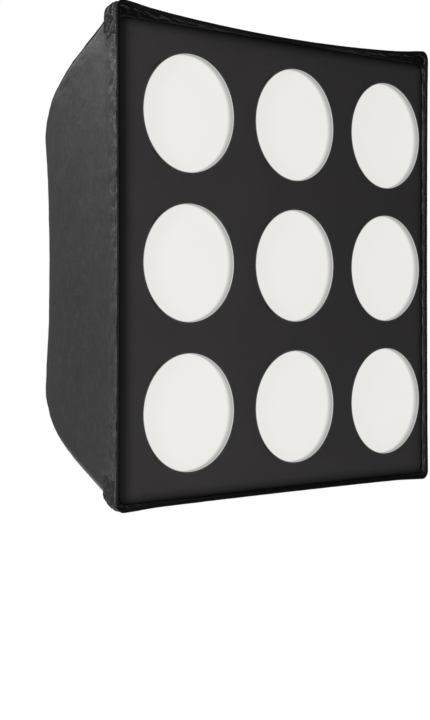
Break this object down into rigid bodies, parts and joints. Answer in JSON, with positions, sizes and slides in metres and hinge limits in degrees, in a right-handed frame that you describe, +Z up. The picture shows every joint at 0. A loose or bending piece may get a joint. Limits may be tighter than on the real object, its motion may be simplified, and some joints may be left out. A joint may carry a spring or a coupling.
{
  "type": "nine-window softbox",
  "caption": "Square softbox for a studio flash: a rotating speed ring holds spring rods in a black fabric box with a white diffuser and a removable black mask with round windows.",
  "frame": {"origin": "centre of the mount's rear mouth, where the light's nose enters", "axes": "+Z up, light leaves along -Y, +Y along the mount's bore towards the light, +X to the right seen from the front"},
  "size_m": [0.7736, 0.57, 0.8152],
  "materials": {
    "insert_metal": "black hard-anodised, satin",
    "ring_metal": "black powder coat, fine texture",
    "aluminium": "machined, satin",
    "steel": "zinc plated",
    "rod_steel": "spring steel, satin",
    "white_plastic": "low-friction plastic, matte",
    "black_plastic": "moulded, fine grain",
    "rubber": "matte",
    "brass": "machined",
    "shell_fabric": "tightly woven nylon, satin, black-coated",
    "silver_fabric": "silver-coated nylon, hammered",
    "webbing": "ribbed nylon webbing",
    "lip_fabric": "coated nylon, slightly glossy",
    "binding_tape": "folded binding tape, slightly glossy",
    "loop_tape": "fleecy loop tape",
    "white_fabric": "translucent white nylon, matte",
    "mask_fabric": "dense black nylon, matte",
    "white_tape": "white binding, matte"
  },
  "bodies": {
    "mount": {"bayonet_insert": "insert_metal", "retaining_ring": "aluminium", "retaining_screws": "steel", "slip_washer": "white_plastic"},
    "box": {"speed_ring": "ring_metal", "rod_socket_top_left": "aluminium", "rod_socket_top_right": "aluminium", "rod_socket_bottom_right": "aluminium", "rod_socket_bottom_left": "aluminium", "socket_screws": "steel", "rod_top_left": "rod_steel", "rod_top_right": "rod_steel", "rod_bottom_right": "rod_steel", "rod_bottom_left": "rod_steel", "rod_tip_top_left": "rubber", "rod_tip_top_right": "rubber", "rod_tip_bottom_right": "rubber", "rod_tip_bottom_left": "rubber", "rod_pocket_top_left": "webbing", "rod_pocket_top_right": "webbing", "rod_pocket_bottom_right": "webbing", "rod_pocket_bottom_left": "webbing", "panel_top": "shell_fabric", "panel_right": "shell_fabric", "panel_bottom": "shell_fabric", "panel_left": "shell_fabric", "lining_top": "silver_fabric", "lining_right": "silver_fabric", "lining_bottom": "silver_fabric", "lining_left": "silver_fabric", "corner_patch_top_left": "webbing", "corner_patch_top_right": "webbing", "corner_patch_bottom_right": "webbing", "corner_patch_bottom_left": "webbing", "front_lip": "lip_fabric", "edge_binding": "binding_tape", "loop_strip": "loop_tape", "rear_collar": "shell_fabric", "collar_elastic": "webbing", "inner_baffle": "white_fabric", "baffle_clip_top_left": "webbing", "baffle_clip_top_right": "webbing", "baffle_clip_bottom_right": "webbing", "baffle_clip_bottom_left": "webbing"},
    "front_diffuser": {"front_diffuser": "white_fabric", "diffuser_hem": "white_fabric"},
    "front_mask": {"mask": "mask_fabric", "window_facings": "mask_fabric", "mask_hem": "mask_fabric", "window_bindings": "white_tape"},
    "lock_knob_left": {"lock_knob_left": "black_plastic", "lock_screw_left": "steel"},
    "clamp_pad_left": {"clamp_pad_left": "brass"},
    "lock_knob_right": {"lock_knob_right": "black_plastic", "lock_screw_right": "steel"},
    "clamp_pad_right": {"clamp_pad_right": "brass"}
  },
  "joints": [
    {"name": "box_turn", "type": "hinge", "parent": "mount", "child": "box", "pos_m": [0, 0, 0], "axis": [0, 1, 0], "continuous": true},
    {"name": "diffuser_off", "type": "slide", "parent": "box", "child": "front_diffuser", "axis": [0, -1, 0], "range_m": [0, 0.12]},
    {"name": "mask_off", "type": "slide", "parent": "front_diffuser", "child": "front_mask", "axis": [0, -1, 0], "range_m": [0, 0.12]},
    {"name": "knob_left_turn", "type": "hinge", "parent": "box", "child": "lock_knob_left", "pos_m": [-0.085, -0.026, 0], "axis": [-1, 0, 0], "range_deg": [0, 360]},
    {"name": "pad_left_slide", "type": "slide", "parent": "box", "child": "clamp_pad_left", "axis": [-1, 0, 0], "range_m": [0, 0.001]},
    {"name": "knob_right_turn", "type": "hinge", "parent": "box", "child": "lock_knob_right", "pos_m": [0.085, -0.026, 0], "axis": [1, 0, 0], "range_deg": [0, 360]},
    {"name": "pad_right_slide", "type": "slide", "parent": "box", "child": "clamp_pad_right", "axis": [1, 0, 0], "range_m": [0, 0.001]}
  ],
  "couplings": [
    {"joint": "pad_left_slide", "follows": "knob_left_turn", "m_per_rad": 0.00015915},
    {"joint": "pad_right_slide", "follows": "knob_right_turn", "m_per_rad": 0.00015915}
  ]
}
